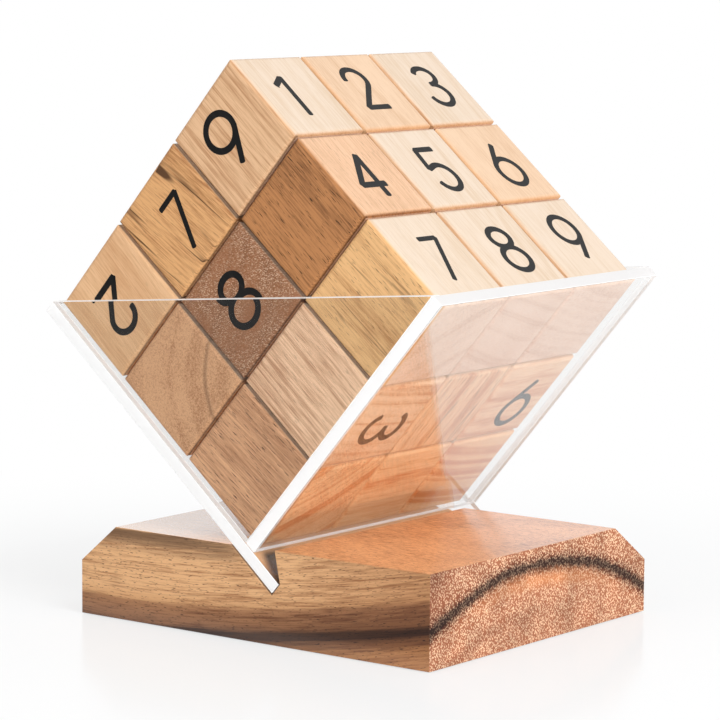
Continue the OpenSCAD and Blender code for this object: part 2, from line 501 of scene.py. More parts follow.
def grain_group():
    """Wood in mm with its grain along z: uneven rings round a pith, fibres, pores, veins and flecks."""
    tree = bpy.data.node_groups.new("wood_grain", "ShaderNodeTree")
    for side, sockets in (("INPUT", GRAIN_INPUTS), ("OUTPUT", GRAIN_OUTPUTS)):
        for name, kind in sockets.items():
            tree.interface.new_socket(name=name, in_out=side, socket_type="NodeSocket" + kind)
    net = Net(tree)
    given = tree.nodes.new("NodeGroupInput").outputs
    result = tree.nodes.new("NodeGroupOutput").inputs
    place = given["Place"]

    # Growth rings of uneven width, bent by a slow wander along the grain
    wander = net.noise(place, WANDER_WAVES, detail=1.0, output="Color")
    wander = net.vector("SUBTRACT", wander, (NOISE_MIDDLE, NOISE_MIDDLE, NOISE_MIDDLE))
    wander = net.vector("MULTIPLY", wander, net.join(given["Wander"], given["Wander"]))
    from_pith = net.vector("SUBTRACT", net.vector("ADD", place, wander), given["Pith"])
    distance = net.vector("LENGTH", net.vector("MULTIPLY", from_pith, (1.0, 1.0, 0.0)))
    drift = net.times(net.split(place)["Z"], RING_DRIFT)
    ring = net.join(net.math("DIVIDE", distance, given["Ring Width"]), drift)
    late = net.step(net.noise(ring, RING_WAVES, detail=3.0, roughness=0.55), *LATE_RISE)
    late = net.times(late, given["Rings"])

    # Fibres, pores, veins and flecks, drawn out along the grain
    fibre = net.noise(place, FIBRE_WAVES, detail=4.0, roughness=0.65)
    cloud = net.noise(place, CLOUD_WAVES)
    pores = net.step(net.noise(place, given["Pore Scale"], detail=1.0), *PORE_RISE)
    pores = net.times(pores, given["Pores"])
    vein = net.near(net.math("SUBTRACT", net.noise(place, VEIN_WAVES), NOISE_MIDDLE), VEIN_REACH)
    broken = net.step(net.noise(place, BREAK_WAVES, detail=1.0), *BREAK_RISE)
    streaks = net.times(vein, broken, given["Streaks"])
    flecks = net.step(net.noise(place, FLECK_WAVES, detail=1.0), *FLECK_RISE)
    flecks = net.times(flecks, given["Flecks"], net.step(cloud, *FLECKED_CLOUD))
    crack = net.near(net.math("SUBTRACT", distance, given["Crack"]), CRACK_REACH)
    crack = net.times(crack, net.math("GREATER_THAN", given["Crack"], 0.0), CRACK_SHARE)

    fibre_part = net.times(net.math("SUBTRACT", fibre, NOISE_MIDDLE), given["Fibres"], FIBRE_SHARE)
    cloud_part = net.times(net.math("SUBTRACT", cloud, CLOUD_LEVEL), CLOUD_SHARE)
    part = net.math("ADD", net.math("ADD", late, fibre_part), cloud_part, clamp=True)
    wood = net.mix(part, given["Pale"], given["Dark"])
    marks = net.math("MAXIMUM", net.math("MAXIMUM", pores, streaks), crack)
    wood = net.mix(marks, wood, net.mix(1.0, given["Dark"], PORE_SHADE, "MULTIPLY"))
    wood = net.mix(flecks, wood, net.mix(FLECK_SHARE, given["Pale"], FLECK_TONE))
    rough = net.math("ADD", net.between(fibre, *FIBRE_ROUGH), net.times(pores, PORE_ROUGH))
    net.put(result["Color"], wood)
    net.put(result["Roughness"], rough)
    net.put(result["Height"], net.math("SUBTRACT", fibre, net.times(pores, PORE_DEPTH)))
    net.put(result["Distance"], distance)
    return tree


# How strongly the relief of wood and paint turns the light, and its depth in mm
RELIEF = 0.5
WOOD_RELIEF = 0.08
PAINT_RELIEF = 0.03


def wood_shader(net, shade, roughness, height, depth, gloss):
    bump = net.node("Bump", {"Height": height, "Strength": RELIEF, "Distance": depth})
    inputs = {"Base Color": shade, "Roughness": roughness, "Specular IOR Level": gloss,
              "Normal": bump.outputs["Normal"]}
    return net.node("BsdfPrincipled", inputs).outputs["BSDF"]


def middle(name):
    low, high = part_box(name)
    return (low + high) / 2


def grain_turn(name, lean):
    """Turn of a cube's grain: z along the long side, unless the cube was cut another way."""
    leaning = TRAY_TURN @ Matrix.Rotation(math.radians(lean), 3, "Y")
    if name in GRAIN_IN_DEPTH:
        return leaning @ Matrix.Rotation(math.radians(90), 3, "X")
    if name in GRAIN_ALONG_SHORT:
        return leaning @ Matrix.Rotation(math.radians(90), 3, "Y")
    return leaning


def turned_place(net, turn, centre=(0.0, 0.0, 0.0)):
    """Place in mm from a centre, along axes turned as given."""
    inputs = {"Vector": net.place(), "Location": centre, "Rotation": turn.to_euler(), "Scale": (MM, MM, MM)}
    return net.node("Mapping", inputs, vector_type="TEXTURE").outputs["Vector"]


def grid_spot(name):
    """Place of a cube in the stack, 0 to 2 along the short side, into the depth and along the long side."""
    layer, _, course, spot = name.split("_")
    return int(spot[1:]) - 1, list(CUBE_KINDS).index(layer), int(course[1:]) - 1


# A cube is cut from anywhere within this reach of the plank in mm, with its pith off by a share
PLANK_REACH = 400
PITH_SHARES = (0.85, 1.15)
# Waves to a mm of the noise of a cube's pores, in the same order, and the gloss of its wood
CUBE_PORES = (4.4, 4.4, 0.36)
CUBE_GLOSS = 0.35
# How squarely a face looks up the short side, between where the painted light on the lit side begins and
# where it is full
LIT_SIDE_RISE = (0.6, 0.95)
# Late wood against early wood in the painted light on the lit side, and what that painted light leaves of
# pores and veins
LIT_LATE = (0.9, 0.83, 0.73, 1.0)
LIT_MARKS = 0.1
# How squarely a face lies across the grain, between where veins begin to go and where this share is left
ACROSS_RISE = (0.7, 0.95)
ACROSS_VEINS = 0.1
# How squarely a face looks down, between where the painted bounce light and reflection of an underside begin
# and where they are full: with the roundings, and on the flat alone
UNDERSIDE_LIGHT_RISE = (0.2, 0.7)
UNDERSIDE_LIGHT_FLAT_RISE = (0.88, 0.98)
# Undersides by place along the short side: the share of their painted bounce light from the base, how far it
# is the paler painted reflection of the high ones, and how strongly the growth rings show. The rings have one
# width, in mm
UNDERSIDE_LIGHT_SHARES = (0.95, 0.85, 0.9)
REFLECTION_SHARES = (0.0, 0.35, 1.0)
UNDER_RINGS = (0.9, 0.9, 0.45)
UNDER_RING = 2.4
# The front of a cube, between these depths behind its front face in mm
FRONT_DEPTHS = (1.6, 1.0)
# Painted shade along the edges of a cube, darker and warmer: its tint and share, what is left of it on front
# and rear, and how near to an edge it lies in mm
EDGE_SHADE_TINT = (1.0, 0.82, 0.64, 1.0)
EDGE_SHADE_SHARE = 0.35
EDGE_SHADE_FRONT = 0.2
EDGE_SHADE_DEPTHS = (1.3, 0.3)
# What the painted shade leaves of the wood's tone in the seams between cubes, how much of it lies in those
# off the front, and how near to an edge of the cube it lies in mm
SEAM_SHADE_TINT = (0.08, 0.05, 0.033, 1.0)
SEAM_LEAST = 0.1
SEAM_DEPTHS = (1.0, 0.4)
# How far from a seam the painted shade begins in mm, on a cube's lower and upper side, along the short side,
# into the depth and along the long side, and how near to the seam it is full, in mm
SEAM_REACHES = ((0.6, 0.4), (0.45, 0.45), (0.45, 0.6))
SEAM_FULL = 0.05
# Painted light on a rounding that looks down at the front, against its shade: how much paler it is, and how
# far forward it has to look
ROUNDING_LIGHT = grey(1.15)
FORWARD_RISE = (0.1, 0.5)
# How squarely a face looks forward or back, between where it counts as a side and where as a front
FRONT_RISE = (0.3, 0.8)


def from_face(net, value, depths):
    """0 deeper in a cube than the first of two depths under its face, 1 from the second depth outwards."""
    return net.step(value, HALF_CUBE_MM - depths[0], HALF_CUBE_MM - depths[1])


def face_tones(net, settings, under, spots, before):
    """Pale and dark tone of a cube, with painted light: how far its lit side is painted paler, and how far a
    face that looks down gets painted bounce light and reflection.
    """
    lit_side = net.times(net.step(net.facing(UP_SHORT), *LIT_SIDE_RISE), settings.bleach)
    flat = before if spots[2] == 0 else 1.0
    first, full = (net.between(flat, *limits) for limits in zip(UNDERSIDE_LIGHT_RISE, UNDERSIDE_LIGHT_FLAT_RISE))
    underside_light = net.times(net.step(net.facing(-UP_LONG), first, full), UNDERSIDE_LIGHT_SHARES[spots[0]])
    lit_dark = [early * late for early, late in zip(settings.sunned, LIT_LATE)]
    up = REFLECTION_SHARES[spots[0]]
    underside_light_pale = [low + (high - low) * up for low, high in zip(under.pale, under.reflected_pale)]
    underside_light_dark = [low + (high - low) * up for low, high in zip(under.dark, under.reflected_dark)]
    pale = net.mix(underside_light, net.mix(lit_side, settings.pale, settings.sunned), underside_light_pale)
    dark = net.mix(underside_light, net.mix(lit_side, settings.dark, lit_dark), underside_light_dark)
    return pale, dark, lit_side, underside_light


def toward_edge(net, square):
    """The second greatest of the three distances from a cube's middle, which grows towards its edges."""
    sizes = net.split(net.vector("ABSOLUTE", square))
    low = net.math("MINIMUM", sizes[0], sizes[1])
    high = net.math("MAXIMUM", sizes[0], sizes[1])
    return net.math("MAXIMUM", low, net.math("MINIMUM", high, sizes[2]))


def seam_shade(net, square, spots, before, second):
    """Where shade is painted in the seams beside a neighbour, most on the front of the stack."""
    seams = 0.0
    for offset, spot, (below, above) in zip(net.split(square), spots, SEAM_REACHES):
        if spot > 0:
            beside = from_face(net, net.times(offset, -1.0), (below, SEAM_FULL))
            seams = net.math("MAXIMUM", seams, beside)
        if spot < 2:
            beside = from_face(net, offset, (above, SEAM_FULL))
            seams = net.math("MAXIMUM", seams, beside)
    return net.times(seams, from_face(net, second, SEAM_DEPTHS), net.between(before, SEAM_LEAST, 1.0))


def cube_wood(name, kind, puzzle, grain, seed):
    """The wood of one cube, cut from its own place in the plank."""
    material, net = new_material(f"wood_{name}")
    settings, wood, spots = getattr(puzzle, kind), WOODS[kind], grid_spot(name)
    shift = random.Random(seed)
    start = (0.0, 0.0, shift.uniform(-PLANK_REACH, PLANK_REACH))
    pith_share = 1.0 if wood["crack"] else shift.uniform(*PITH_SHARES)
    turn = grain_turn(name, wood["lean"])
    square = turned_place(net, TRAY_TURN, middle(name))
    in_front = spots[1] == 0
    before = from_face(net, net.times(net.split(square)["Y"], -1.0), FRONT_DEPTHS) if in_front else 0.0

    # The painted light on the lit side hides pores and veins, and veins hardly show where the grain is cut
    # across
    pale, dark, lit_side, underside_light = face_tones(net, settings, puzzle.under, spots, before)
    kept = net.between(lit_side, 1.0, LIT_MARKS)
    across = net.step(net.math("ABSOLUTE", net.facing(turn.col[2])), *ACROSS_RISE)
    group = net.node("Group", {
        "Place": net.vector("ADD", turned_place(net, turn, middle(name)), start),
        "Pale": pale,
        "Dark": dark,
        "Pith": (wood["pith"][0] * pith_share, wood["pith"][1] * pith_share, 0.0),
        "Wander": wood["wander"],
        "Ring Width": net.between(underside_light, settings.ring / MM, UNDER_RING),
        "Rings": net.between(underside_light, settings.rings, UNDER_RINGS[spots[0]]),
        "Fibres": settings.fibres,
        "Pores": net.times(settings.pores, kept),
        "Pore Scale": CUBE_PORES,
        "Streaks": net.times(settings.streaks, net.between(across, 1.0, ACROSS_VEINS), kept),
        "Flecks": settings.flecks,
        "Crack": wood["crack"],
    }, node_tree=grain)

    # Painted shade along the edges, darker and warmer, less on front and rear, and hardly on the undersides
    second = toward_edge(net, square)
    ahead = net.step(net.math("ABSOLUTE", net.facing(DEPTH)), *FRONT_RISE)
    edge_shade = net.times(net.between(ahead, EDGE_SHADE_SHARE, EDGE_SHADE_SHARE * EDGE_SHADE_FRONT), from_face(net, second, EDGE_SHADE_DEPTHS))
    edge_shade = net.times(edge_shade, net.rest(underside_light))
    shade = net.mix(edge_shade, group.outputs["Color"], net.mix(1.0, dark, EDGE_SHADE_TINT, "MULTIPLY"))
    if in_front:
        # Painted light makes the rounding that looks down at the front paler, against its shade
        forward = net.step(net.facing(-DEPTH), *FORWARD_RISE)
        down = net.math("MULTIPLY", net.split(net.place("Normal"))["Z"], -1.0, clamp=True)
        shade = net.tint(net.times(down, forward), shade, ROUNDING_LIGHT)
    # Painted shade in the seams between cubes
    shade = net.tint(seam_shade(net, square, spots, before, second), shade, SEAM_SHADE_TINT)
    shader = wood_shader(net, shade, group.outputs["Roughness"], group.outputs["Height"], WOOD_RELIEF * MM,
                         CUBE_GLOSS)
    close_material(net, shader)
    return material


class PUZZLE_OT_dress_cubes(bpy.types.Operator):
    """Give each cube its own piece of wood"""

    bl_idname = "puzzle.dress_cubes"
    bl_label = "Dress the cubes"

    def execute(self, context):
        grain = bpy.data.node_groups.get("wood_grain") or grain_group()
        puzzle = context.scene.cube_puzzle
        for seed, name in enumerate(CUBES):
            spot, layer, course = grid_spot(name)
            kind = list(CUBE_KINDS.values())[layer][course][spot]
            dress(name, cube_wood(name, kind, puzzle, grain, seed))
        return {"FINISHED"}


# Directions of the base: along it to the right, and up
ALONG = Vector((1.0, 0.0, 0.0))
UP = Vector((0.0, 0.0, 1.0))
# Grain of the base: wander and ring width in mm, the strength of each mark, and its pores to a mm
BASE_GRAIN = {"Wander": 1.5, "Ring Width": 3.3, "Rings": 0.35, "Fibres": 1.3, "Pores": 0.9,
              "Pore Scale": (5.0, 5.0, 0.8), "Streaks": 0.2, "Flecks": 0.0, "Crack": 0.0}
# Dark band in the base at its right end, in mm: the pith lies below it. To the left it falls, at first by
# this slope, which eases by this much a mm
BAND_PITH = (-2.1, -72.8)
BAND_RADIUS = 90.2
BAND_FALL = 0.22
BAND_EASE = 0.0012
# Ragged edge of the band: its waves to a mm, and how far it strays in mm
RAGGED_WAVES = (0.8, 0.8, 0.025)
RAGGED_REACH = 2.6
# The ramps across the band run from this far below it, over this reach
BAND_BELOW = 12.0
BAND_REACH = 30.0
# How squarely a face looks up or forward, between where it begins to count and where it does fully, and the
# same for the level top alone and for an end
SIDE_RISE = (0.5, 0.9)
LEVEL_RISE = (0.9, 0.98)
END_RISE = (0.55, 0.8)
# Tints by height over the band in mm, along the grain
BROWN_STOPS = (
    (-9.0, (0.85, 0.72, 0.55)), (-3.0, (0.70, 0.58, 0.44)), (-1.0, (0.34, 0.25, 0.19)),
    (0.2, (0.07, 0.04, 0.03)), (1.3, (0.08, 0.05, 0.035)), (2.4, (0.31, 0.23, 0.19)),
    (4.4, (0.43, 0.34, 0.30)), (6.0, (0.48, 0.39, 0.35)), (6.9, (0.84, 0.79, 0.74)), (9.0, (1.0, 1.0, 1.0)),
)
# Aged wood towards the right end: the places in mm between which it comes up, its share and its tint
AGED_ALONG = (5.0, 50.0)
AGED_SHARE = 0.9
AGED_TINT = (0.72, 0.62, 0.55, 1.0)
# Painted light on the top, where the band hardly shows: its tint and share
TOP_LIGHT_TINT = (1.34, 1.1, 0.98, 1.0)
TOP_LIGHT_SHARE = 0.75
# Smoky patch: heights and places in mm between which it comes up and ends, the ragged noise in it, and its
# share
SMOKE_HIGH = (15.0, 20.0)
SMOKE_ALONG = (-10.0, 4.0)
SMOKE_RISE = (0.25, 0.55)
SMOKE_SHARE = 0.85
# Polished top with a painted reflection: places in mm between which it ends, the share of the painted
# reflection, and the share of the roughness that is left
POLISH_AND_SHEEN_ALONG = (-30.0, 0.0)
SHEEN_SHARE = 0.45
POLISH_ROUGH = 0.1
# Tints by height over the band in mm, where the base is cut across
BAND_STOPS = (
    (-10.0, (1.0, 1.0, 1.0)), (-3.8, (1.04, 1.0, 0.97)), (-2.6, (0.80, 0.64, 0.53)),
    (-1.5, (0.34, 0.24, 0.20)), (-0.5, (0.08, 0.065, 0.07)), (0.7, (0.08, 0.065, 0.07)),
    (1.6, (0.46, 0.36, 0.33)), (3.0, (0.88, 0.82, 0.79)), (5.0, (1.0, 0.98, 0.97)),
)
# Orange zone: its height over the band, its place in the depth, how far it reaches from there in mm, and
# its share
ORANGE_PLACE = (-3.2, 3.0)
ORANGE_REACH = (3.0, 42.0)
ORANGE_SHARE = 0.7
# Pale pores: cells to a mm round the pith, away from it and along the base, and the distances from the
# middle of a cell between which a pore ends
DOT_CELLS = (3.2, 2.0, 0.2)
DOT_RISE = (0.3, 0.52)
# How far from the band in mm pores go faint, and how many are left in the band and in the orange zone
BAND_CLEAR = 2.5
BAND_DOTS = 0.17
ORANGE_DOTS = 0.5
# Clouds on the ends: waves to a mm, and tints by their level
END_CLOUD_WAVES = (0.12, 0.12, 0.02)
END_CLOUD_STOPS = ((0.3, grey(0.78)), (0.7, grey(1.16)))
# Darker places on the ends, in mm: between which depths and heights the front edge ends and comes up, and
# an old ring by its height over the band, its reach, the depths between which it ends, and its share
FRONT_EDGE_DEEP = (-42.0, -28.0)
FRONT_EDGE_HIGH = (2.0, 9.0)
OLD_RING_PLACE = -10.4
OLD_RING_REACH = 2.4
OLD_RING_DEEP = (-20.0, 5.0)
OLD_RING_SHARE = 0.6
WORN_TINT = (0.62, 0.56, 0.54, 1.0)
# Sides of the groove: how squarely they look along the base, and how far from the middle they end in mm
GROOVE_RISE = (0.3, 0.5)
GROOVE_REACH = (15.0, 20.0)
# Painted shade in the groove, where little light reaches, in mm: the depths between which it begins, on a
# line with this lean, and those between which it ends, the heights between which it ends, and its share right
# at the mouth
GROOVE_SHADE_LEAN = 0.6
GROOVE_SHADE_START = (-49.5, -46.5)
GROOVE_SHADE_END = (-32.0, -27.0)
GROOVE_SHADE_TOP = (17.0, 18.8)
GROOVE_SHADE_MOUTH = (-41.6, -40.6)
GROOVE_SHADE_MOUTH_SHARE = 0.75
# Roughness of the ends, gloss of the wood, and roughness of the oil on it
END_ROUGH = 0.8
BASE_GLOSS = 0.3
OIL_ROUGH = 0.2


def across_band(net, over, stops):
    """A tint by the distance over the band, from stops in mm."""
    part = net.math("DIVIDE", net.math("ADD", over, BAND_BELOW), BAND_REACH)
    return net.ramp(part, [((height + BAND_BELOW) / BAND_REACH, tint) for height, tint in stops])


def grain_sides(net, settings, wood, spot, over, ragged):
    """The base along its grain: brown over the band, browner to the right, with painted light on the top, and
    smoky along the front edge.
    """
    along, _, high = spot
    brown = across_band(net, over, BROWN_STOPS)
    brown = net.tint(net.times(net.step(along, *AGED_ALONG), AGED_SHARE), brown, AGED_TINT)
    # Painted light makes the top paler and more orange
    on_top = net.step(net.facing(UP), *SIDE_RISE)
    brown = net.mix(net.times(on_top, TOP_LIGHT_SHARE), brown, TOP_LIGHT_TINT)
    shade = net.mix(1.0, wood, brown, "MULTIPLY")
    patch = net.times(net.step(high, *SMOKE_HIGH), net.rest(net.step(along, *SMOKE_ALONG)))
    on_front = net.step(net.facing(-DEPTH), *SIDE_RISE)
    patch = net.times(patch, on_front, net.step(ragged, *SMOKE_RISE), SMOKE_SHARE)
    return net.mix(patch, shade, settings.smoke)


def cut_ends(net, settings, spot, plank, distance, over):
    """The base cut across: the band among pale filled pores, with an orange zone under it."""
    along, deep, high = spot
    ends = net.mix(1.0, settings.ends, across_band(net, over, BAND_STOPS), "MULTIPLY")
    below = net.math("SUBTRACT", over, ORANGE_PLACE[0])
    aside = net.math("SUBTRACT", deep, ORANGE_PLACE[1])
    orange = net.times(net.near(below, ORANGE_REACH[0]), net.near(aside, ORANGE_REACH[1]))
    ends = net.mix(net.times(orange, ORANGE_SHARE), ends, settings.orange)

    # The pores lie in rays from the pith
    out = net.math("SUBTRACT", deep, BAND_PITH[0])
    up = net.math("SUBTRACT", high, BAND_PITH[1])
    rays = net.join(net.times(net.math("ARCTAN2", out, up), BAND_RADIUS), distance, along)
    cells = net.node("TexVoronoi", {"Vector": net.vector("MULTIPLY", rays, DOT_CELLS), "Scale": 1.0,
                                    "Randomness": 1.0})
    dots = net.rest(net.step(cells.outputs["Distance"], *DOT_RISE))
    dots = net.times(dots, net.between(net.near(over, BAND_CLEAR), 1.0, BAND_DOTS))
    dots = net.times(dots, net.between(orange, 1.0, ORANGE_DOTS))
    ends = net.mix(dots, ends, settings.dots)
    cloud = net.ramp(net.noise(plank, END_CLOUD_WAVES), END_CLOUD_STOPS)
    ends = net.mix(1.0, ends, cloud, "MULTIPLY")

    # Two darker places: along the front edge, and in an older ring low at the front
    front_edge = net.times(net.rest(net.step(deep, *FRONT_EDGE_DEEP)), net.step(high, *FRONT_EDGE_HIGH))
    old_ring = net.near(net.math("SUBTRACT", over, OLD_RING_PLACE), OLD_RING_REACH)
    old_ring = net.times(old_ring, net.rest(net.step(deep, *OLD_RING_DEEP)), OLD_RING_SHARE)
    return net.tint(net.math("MAXIMUM", front_edge, old_ring), ends, WORN_TINT)


def groove_sides(net, settings, spot):
    """Where the sides of the groove are, and their tone: a paler tone by the mouth and high up, and painted
    shade farther in.
    """
    along, deep, high = spot
    sides = net.step(net.math("ABSOLUTE", net.facing(ALONG)), *GROOVE_RISE)
    sides = net.times(sides, net.rest(net.step(net.math("ABSOLUTE", along), *GROOVE_REACH)))
    inwards = net.math("SUBTRACT", deep, net.times(high, GROOVE_SHADE_LEAN))
    inner = net.times(net.step(inwards, *GROOVE_SHADE_START), net.rest(net.step(high, *GROOVE_SHADE_TOP)))
    inner = net.times(inner, net.rest(net.step(deep, *GROOVE_SHADE_END)))
    mouth = net.times(net.rest(net.step(deep, *GROOVE_SHADE_MOUTH)), GROOVE_SHADE_MOUTH_SHARE)
    return sides, net.mix(net.math("MAXIMUM", inner, mouth), settings.pale_groove, settings.sawn)


def base_wood(settings, grain):
    """Golden wood with a dark arched band through it, the grain along the base."""
    material, net = new_material("wood_base")
    spot = net.split(net.vector("DIVIDE", net.place(), (MM, MM, MM)))
    along, deep, high = spot
    left = net.math("SUBTRACT", BASE_HIGH.x / MM, along)
    fall = net.times(left, net.math("MULTIPLY_ADD", left, -BAND_EASE, BAND_FALL))
    plank = net.join(deep, net.math("ADD", high, fall), along)
    wood = net.node("Group", {"Place": plank, "Pale": settings.sap, "Dark": settings.late,
                              "Pith": (*BAND_PITH, 0.0), **BASE_GRAIN}, node_tree=grain).outputs
    ragged = net.noise(plank, RAGGED_WAVES, detail=4.0, roughness=0.65)
    stray = net.times(net.math("SUBTRACT", ragged, NOISE_MIDDLE), RAGGED_REACH)
    over = net.math("ADD", net.math("SUBTRACT", wood["Distance"], BAND_RADIUS), stray)

    sides = grain_sides(net, settings, wood["Color"], spot, over, ragged)
    ends = cut_ends(net, settings, spot, plank, wood["Distance"], over)
    at_end = net.step(net.math("ABSOLUTE", net.facing(ALONG)), *END_RISE)
    shade = net.mix(at_end, sides, ends)
    # At the left of the top: a smoother polish, and a painted reflection in its tone
    polish_and_sheen = net.times(net.step(net.facing(UP), *LEVEL_RISE), net.rest(net.step(along, *POLISH_AND_SHEEN_ALONG)))
    shade = net.mix(net.times(polish_and_sheen, SHEEN_SHARE), shade, settings.sheen_tone)
    # Painted shade in the groove
    in_groove, groove = groove_sides(net, settings, spot)
    shade = net.mix(in_groove, shade, groove)

    # Oil stands on the grain and soaks into the ends
    oil = net.rest(net.math("MAXIMUM", at_end, in_groove))
    rough = net.math("MAXIMUM", wood["Roughness"], net.times(at_end, END_ROUGH))
    rough = net.times(rough, net.between(polish_and_sheen, 1.0, POLISH_ROUGH))
    bump = net.node("Bump", {"Height": wood["Height"], "Strength": RELIEF, "Distance": WOOD_RELIEF * MM})
    shader = net.node("BsdfPrincipled", {"Base Color": shade, "Roughness": rough,
                                         "Specular IOR Level": BASE_GLOSS, "Coat Weight": oil,
                                         "Coat Roughness": OIL_ROUGH, "Normal": bump.outputs["Normal"]})
    close_material(net, shader.outputs["BSDF"])
    return material


# Eased edges: corners nearer than this in m are one, edges sharper than this angle are rounded, in so many
# steps
WELD_REACH = 0.000002
EASED_ANGLE = math.radians(20)
BASE_EDGE_STEPS = 3
SHEET_EDGE_STEPS = 2
# How strongly the larger of two faces keeps its direction
FACE_WEIGHT = 100


def ease_edges(node, width, steps, inset=0.0):
    """Rounds the edges of a CAD node and insets its faces by modifiers, with its own mesh left as it is."""
    weld = node.modifiers.new("weld", "WELD")
    weld.merge_threshold = WELD_REACH
    bevel = node.modifiers.new("eased_edges", "BEVEL")
    bevel.width = width
    bevel.segments = steps
    bevel.limit_method = "ANGLE"
    bevel.angle_limit = EASED_ANGLE
    bevel.harden_normals = False
    if inset:
        shrink = node.modifiers.new("inset", "DISPLACE")
        shrink.strength = -inset
        shrink.mid_level = 0.0
    # The broad faces keep their own direction up to the rounding
    level = node.modifiers.new("level_faces", "WEIGHTED_NORMAL")
    level.mode = "FACE_AREA"
    level.weight = FACE_WEIGHT
    level.keep_sharp = False


class PUZZLE_OT_dress_base(bpy.types.Operator):
    """Give the base its wood and ease its edges"""

    bl_idname = "puzzle.dress_base"
    bl_label = "Dress the base"

    def execute(self, context):
        settings = context.scene.cube_puzzle.base
        grain = bpy.data.node_groups.get("wood_grain") or grain_group()
        dress("base", base_wood(settings, grain))
        ease_edges(NODES["base"], settings.edge, BASE_EDGE_STEPS)
        return {"FINISHED"}


# How squarely a side of a sheet looks its own way, between where it is a cut edge and where it is a clear
# face, and how squarely a cut edge looks up the short side, to be its upper rim, which is painted greyer as
# shade
CLEAR_RISE = (0.80, 0.97)
RIM_RISE = (0.8, 0.97)
# Waves to a mm of the smears on a face and of the saw's marks on an edge, and the roughness that each gives
SMEAR_WAVES = (0.06, 0.06, 0.06)
SAW_WAVES = (0.9, 0.9, 0.9)
SMEAR_ROUGH = 0.03
SAW_ROUGH = (0.35, 0.65)
# Share of the light that goes through a cut edge, and how strongly a sheet bends it
EDGE_THROUGH = 0.1
SHEET_IOR = 1.58


def clear_sheet(name, facing, settings):
    """Clear sheet whose two faces look along facing. Its other sides are frosted cut edges."""
    material, net = new_material(name)
    edge = net.rest(net.step(net.math("ABSOLUTE", net.facing(facing)), *CLEAR_RISE))
    place = net.vector("DIVIDE", net.place(), (MM, MM, MM))
    smear = net.times(net.noise(place, SMEAR_WAVES, detail=3.0), SMEAR_ROUGH)
    sawn = net.times(edge, net.between(net.noise(place, SAW_WAVES), *SAW_ROUGH))
    # Painted shade on the upper rim
    rim = net.step(net.facing(UP_SHORT), *RIM_RISE)
    shade = net.mix(edge, settings.clear, net.mix(rim, settings.cut, settings.rim))
    glass = net.node("BsdfPrincipled", {"Base Color": shade, "Roughness": net.math("ADD", sawn, smear),
                                        "IOR": SHEET_IOR,
                                        "Transmission Weight": net.between(edge, 1.0, EDGE_THROUGH)})
    # Light for shadows and for other pieces passes straight
    passed = net.node("BsdfTransparent", {"Color": settings.passed})
    path = net.node("LightPath").outputs
    passing = net.math("MAXIMUM", path["Is Shadow Ray"], path["Is Diffuse Ray"])
    close_material(net, net.mix_shaders(passing, glass.outputs["BSDF"], passed.outputs["BSDF"]))
    return material


class PUZZLE_OT_dress_tray(bpy.types.Operator):
    """Make the four sheets of the tray clear, with frosted cut edges"""

    bl_idname = "puzzle.dress_tray"
    bl_label = "Dress the tray"

    def execute(self, context):
        settings = context.scene.cube_puzzle.sheet
        ends = clear_sheet("clear_ends", DEPTH, settings)
        finishes = {
            "long_side_panel": clear_sheet("clear_long_side", UP_SHORT, settings),
            "short_side_panel": clear_sheet("clear_short_side", UP_LONG, settings),
            "front_end_panel": ends,
            "rear_end_panel": ends,
        }
        for name, finish in finishes.items():
            dress(name, finish)
            # A hair's breadth off every face keeps glued faces from lying in one place
            ease_edges(NODES[name], settings.edge, SHEET_EDGE_STEPS, settings.glue_line)
        return {"FINISHED"}


# Painted lines: degrees to each step of an arc, the angle of a sharp corner, the steps round a blunt end
# and its depth against half the line's width, how near in mm the ends of a closed line lie, and the least
# share in a mitred corner
ARC_STEP = 9.0
CORNER = math.radians(25)
CAP_STEPS = 9
CAP_DEPTH = 0.45
CLOSED_GAP = 0.01
MITRE_LEAST = 0.5
# Joining the lines of a number: points nearer than this in mm are one, and it gives triangles inside the
# lines
JOIN_REACH = 0.002
TRIANGLES_INSIDE = 1


def stroke_points(parts):
    """The points along one stroke, with its arcs cut into short lines."""
    points = []
    for part in parts:
        if len(part) == 2:
            points.append(Vector(part))
            continue
        centre, radii, first, last = part
        count = max(2, round(abs(last - first) / ARC_STEP))
        for index in range(count + 1):
            turn = math.radians(first + (last - first) * index / count)
            x, y = radii[0] * math.cos(turn), radii[1] * math.sin(turn)
            points.append(Vector((centre[0] + x, centre[1] + y)))
    return points


def smooth_runs(points):
    """Splits a stroke at its sharp corners."""
    runs = [[points[0]]]
    for index in range(1, len(points)):
        runs[-1].append(points[index])
        if index < len(points) - 1:
            before = points[index] - points[index - 1]
            after = points[index + 1] - points[index]
            if before.angle(after) > CORNER:
                runs.append([points[index]])
    return runs


